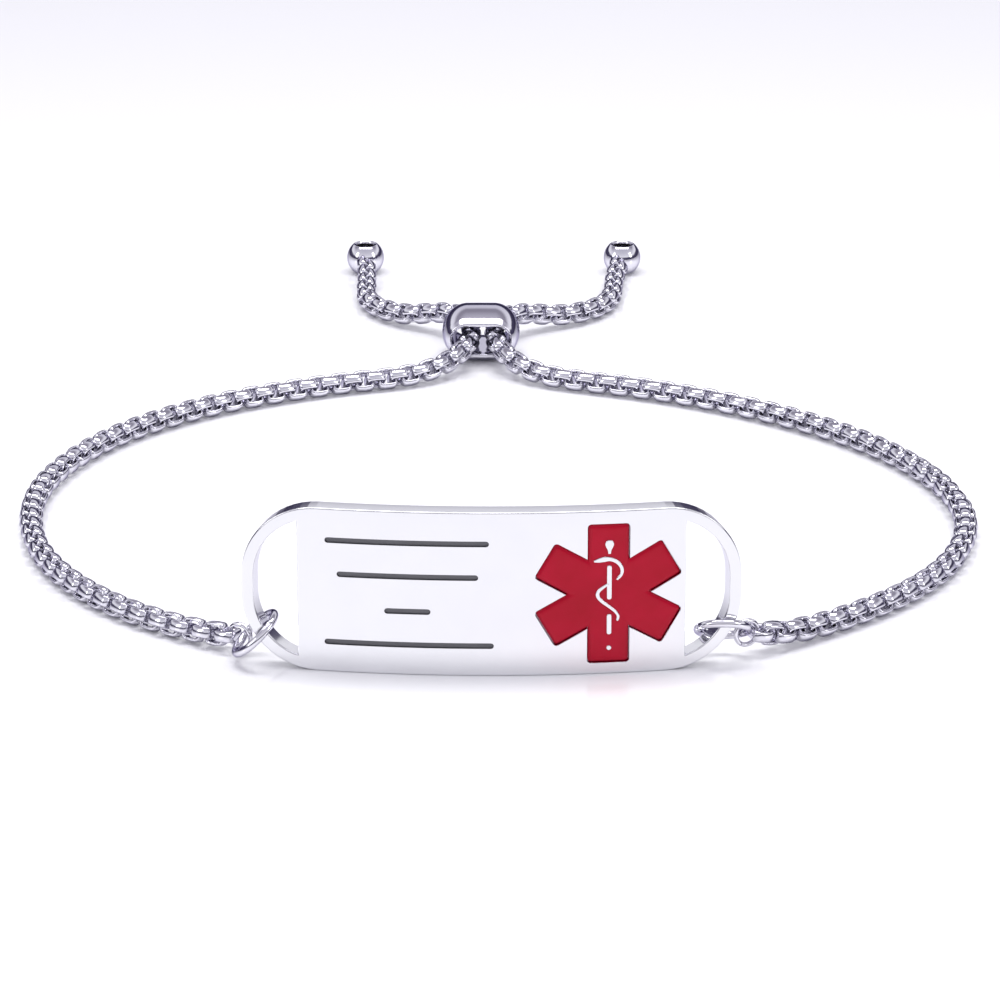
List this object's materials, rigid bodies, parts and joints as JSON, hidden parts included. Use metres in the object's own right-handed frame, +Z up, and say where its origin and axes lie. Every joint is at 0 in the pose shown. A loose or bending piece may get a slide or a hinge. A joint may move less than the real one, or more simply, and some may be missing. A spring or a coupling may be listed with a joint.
{
  "type": "medical alert bracelet",
  "caption": "Steel medical ID bracelet: bent plate with a red enamel star, round box chain, oval sliding bead and two tails with drilled end balls.",
  "frame": {"origin": "centre of the outline on the table, under the middle of the laid-out bracelet", "axes": "+Z up from the table, +Y from the plate to the free ends, +X to the right as seen from the plate's front"},
  "size_m": [0.0872, 0.1161, 0.0146],
  "materials": {
    "plate_steel": "polished stainless steel, bright edges",
    "enamel": "glossy red enamel",
    "ring_steel": "polished stainless steel wire",
    "chain_steel": "polished stainless steel links",
    "bead_steel": "polished stainless steel"
  },
  "bodies": {
    "root": {"id_plate": "plate_steel", "star_enamel": "enamel", "jump_ring_left": "ring_steel", "jump_ring_right": "ring_steel", "end_ring_left": "ring_steel", "end_ring_right": "ring_steel", "chain_left": "chain_steel", "chain_right": "chain_steel", "slider_bead": "bead_steel", "end_ball_left": "bead_steel", "end_ball_right": "bead_steel"}
  },
  "joints": []
}
